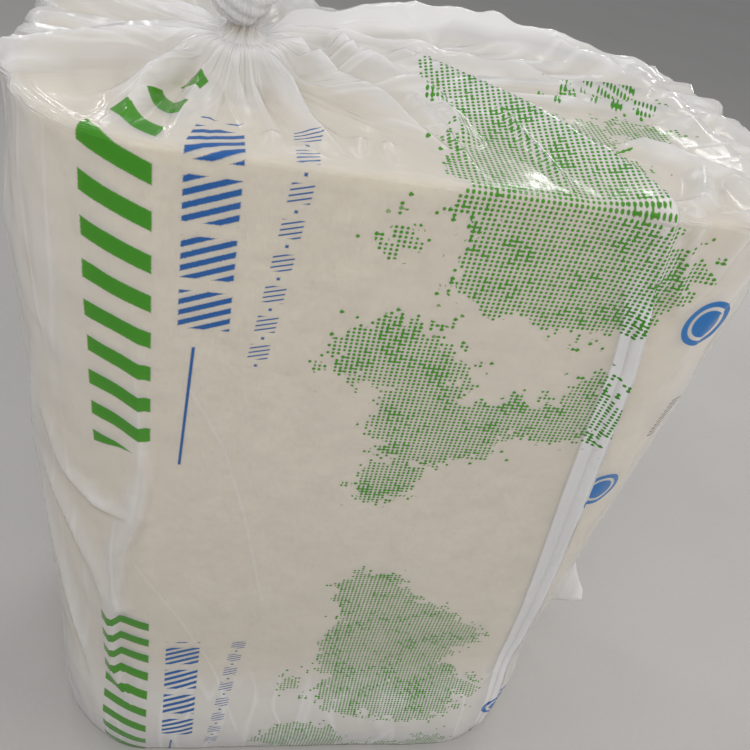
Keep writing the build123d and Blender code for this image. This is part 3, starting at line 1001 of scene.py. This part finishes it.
def build_wool():
    """The pressed roll: fibrous wall, cut ends with the seam between its turns, and the bore."""
    columns = divided(((-HALF_ROUND, HALF_ROUND, WOOL_STEP),))
    share = (columns + HALF_ROUND) / (2 * HALF_ROUND)
    innermost = HALF_Y - BORE_HALF_Y
    insets = np.append(divided(((EDGE, innermost, WOOL_STEP_IN),)), innermost)
    x, y, nx, ny = section_point(columns)

    def end_ring(inset, height, up):
        """One ring of an end face, with the seam pressed in."""
        half_x = HALF_X - inset
        half_y = HALF_Y - inset
        radius = max(CORNER - inset, min(half_y, 8.0) * 0.9)
        flat = half_x - radius
        side = half_y - radius
        base_flat = np.where(np.abs(x) > FLAT, np.sign(x) * flat, x * flat / FLAT)
        base_side = np.where(np.abs(y) > SIDE / 2, np.sign(y) * side, y * side / (SIDE / 2))
        px = base_flat + nx * radius
        py = base_side + ny * radius
        turn = (inset / BLANKET - share) % 1.0
        seam = np.minimum(turn, 1 - turn) * BLANKET
        seam = np.where(inset > BLANKET * 0.6, seam, BLANKET)
        drop = SEAM_DEPTH * np.exp(-((seam / SEAM_WIDE) ** 2))
        fluff = soft_noise(px, py, 26, 31) * 1.2 + soft_noise(px, py, 9, 32) * 0.6
        bulge = TURN_BULGE * np.cos(np.clip(seam / BLANKET * 2, 0, 1) * pi)
        z = height + up * (fluff - 1 - drop - np.maximum(bulge, 0))
        return np.stack((px, py, z), -1)

    def wall_ring(height):
        """One ring of the side, a little uneven."""
        z = np.full(columns.shape, height)
        puff = soft_noise(columns, z, 50, 33) * 0.9 - 0.6
        puff += soft_noise(columns, z, 14, 34) * 0.5
        puff += swell(columns, z)
        return np.stack((x + nx * puff, y + ny * puff, z), -1)

    def bore_ring(height):
        """The bottom of the pressed bore, as deep as it can be seen."""
        px = np.sign(x) * np.minimum(np.abs(x) * (HALF_X - innermost) / HALF_X, BORE_HALF_X)
        py = np.where(np.abs(px) < BORE_HALF_X - 0.01, np.sign(y) * BORE_HALF_Y * 0.9, y / HALF_Y)
        return np.stack((px, py, np.full(px.shape, height)), -1)

    heights = np.append(divided(((WOOL_BASE + EDGE, WOOL_TOP - EDGE, WOOL_STEP_DOWN),)), WOOL_TOP - EDGE)
    rings = [end_ring(inset, WOOL_BASE, -1) for inset in insets[::-1]]
    rings += [wall_ring(height) for height in heights]
    rings += [end_ring(inset, WOOL_TOP, 1) for inset in insets]
    rings += [bore_ring(WOOL_TOP - BORE_DEPTH), bore_ring(WOOL_BASE + BORE_DEPTH)]
    points = np.concatenate(rings)
    points[:, 2] = np.maximum(points[:, 2], WOOL_BASE)
    return new_mesh("roll_of_glass_wool", points, sheet_faces(len(rings), len(columns), closed=True))


# Floor, in millimetres: a little under the bag, so that the two don't flicker
FLOOR_Z = -0.4
FLOOR_CORNERS = ((-9000, -6000, FLOOR_Z), (9000, -6000, FLOOR_Z), (9000, 12000, FLOOR_Z),
                 (-9000, 12000, FLOOR_Z))


def build_stage():
    """Plain pale floor."""
    floor = new_mesh("floor", np.array(FLOOR_CORNERS, float), [(0, 1, 2, 3)])
    g = Graph("grey_floor")
    cloud = g.noise(1.6, 3.0, 0.6, g.object_place())
    speck = g.noise(90.0, 3.0, 0.7, g.object_place())
    shade = g.add(g.times(cloud, 0.6), g.times(speck, 0.4))
    inputs = {"Base Color": g.blend(shade, FLOOR_DARK, FLOOR_PALE), "Roughness": 0.75}
    floor.data.materials.append(g.finished(g.node("ShaderNodeBsdfPrincipled", inputs).outputs[0]))


# Camera where the photograph was taken from, in metres and degrees
CAMERA_PLACE = (-0.212, -0.883, 1.5219)
CAMERA_PITCH = 40.23
CAMERA_YAW = 15.47
CAMERA_ROLL = 14.90
CAMERA_LENS = 36.37


def add_camera():
    """Camera that looks down on the front, turned about its own axis as the photograph is."""
    pitch, yaw, roll = radians(CAMERA_PITCH), radians(CAMERA_YAW), radians(CAMERA_ROLL)
    ahead = Vector((sin(yaw) * cos(pitch), cos(yaw) * cos(pitch), -sin(pitch)))
    level = Vector((cos(yaw), -sin(yaw), 0))
    over = level.cross(ahead)
    right = level * cos(roll) + over * sin(roll)
    up = over * cos(roll) - level * sin(roll)
    lens = bpy.data.cameras.new("camera")
    lens.sensor_width = 36.0
    lens.lens = CAMERA_LENS
    camera = bpy.data.objects.new("camera", lens)
    turned = Matrix((right, up, -ahead)).transposed().to_4x4()
    camera.matrix_world = Matrix.Translation(CAMERA_PLACE) @ turned
    bpy.context.scene.collection.objects.link(camera)
    bpy.context.scene.camera = camera


WHITE = (1.0, 1.0, 1.0)
WARM = (1.0, 0.97, 0.93)
# Large soft lamps, which the film doesn't mirror: name, place, target, size, watts, colour
SOFT_LAMPS = (
    ("soft_above", (-0.5, -2.1, 3.1), (0, 0, 0.7), (2.6, 2.0), 52, WHITE),
    ("soft_behind", (2.5, 2.7, 1.8), (0, 0.1, 0.6), (1.6, 1.4), 26, WHITE),
    ("soft_right", (2.8, -1.0, 1.7), (0.2, 0, 0.6), (1.6, 1.6), 26, WARM),
)
# Narrow lamps, which give the film its highlights
STRIP_LAMPS = (
    ("window_left", (-3.0, -0.4, 2.4), (0, 0, 0.9), (0.3, 1.8), 6, WHITE),
    ("strip_behind_left", (-1.3, 3.4, 3.2), (0, 0, 1.1), (0.09, 1.8), 8, WHITE),
    ("strip_behind_middle", (0.1, 3.2, 3.6), (0, 0, 1.1), (0.05, 1.8), 4, WHITE),
    ("strip_behind_right", (1.5, 3.0, 3.4), (0, 0, 1.1), (0.09, 1.8), 8, WHITE),
    ("strip_left", (-2.2, 2.0, 3.2), (0, 0, 1.1), (0.07, 1.6), 6, WHITE),
    ("strip_over_left", (-0.9, 1.1, 3.4), (-0.1, 0, 1.2), (0.06, 1.2), 4, WHITE),
    ("strip_over_right", (1.0, 0.9, 3.4), (0.2, 0, 1.2), (0.05, 1.2), 3, WHITE),
    ("strip_back", (2.4, 2.9, 0.9), (0, 0.2, 0.6), (0.14, 1.7), 8, WHITE),
)
WORLD_COLOUR = (0.95, 0.97, 1.0, 1)
WORLD_STRENGTH = 0.39


def add_lamps(lamps, mirrored):
    """Rectangular lamps, each turned to its target."""
    for name, place, target, size, power, colour in lamps:
        lamp = bpy.data.lights.new(name, "AREA")
        lamp.shape = "RECTANGLE"
        lamp.size, lamp.size_y = size
        lamp.energy = power
        lamp.color = colour
        made = bpy.data.objects.new(name, lamp)
        made.location = place
        made.rotation_mode = "QUATERNION"
        made.rotation_quaternion = (Vector(target) - Vector(place)).to_track_quat("-Z", "Y")
        made.visible_glossy = mirrored
        bpy.context.scene.collection.objects.link(made)


def add_world():
    """Even pale light from all round."""
    world = bpy.data.worlds.new("studio")
    world.use_nodes = True
    background = world.node_tree.nodes["Background"]
    background.inputs["Color"].default_value = WORLD_COLOUR
    background.inputs["Strength"].default_value = WORLD_STRENGTH
    bpy.context.scene.world = world


add_camera()
add_lamps(SOFT_LAMPS, mirrored=False)
add_lamps(STRIP_LAMPS, mirrored=True)
add_world()
build_stage()

film = build_film()
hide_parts("film_bag")
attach(film, "root")

wool = build_wool()
wool.data.materials.append(wool_material())
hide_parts("wool_roll")
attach(wool, "root")

bpy.context.scene.view_settings.view_transform = "Standard"
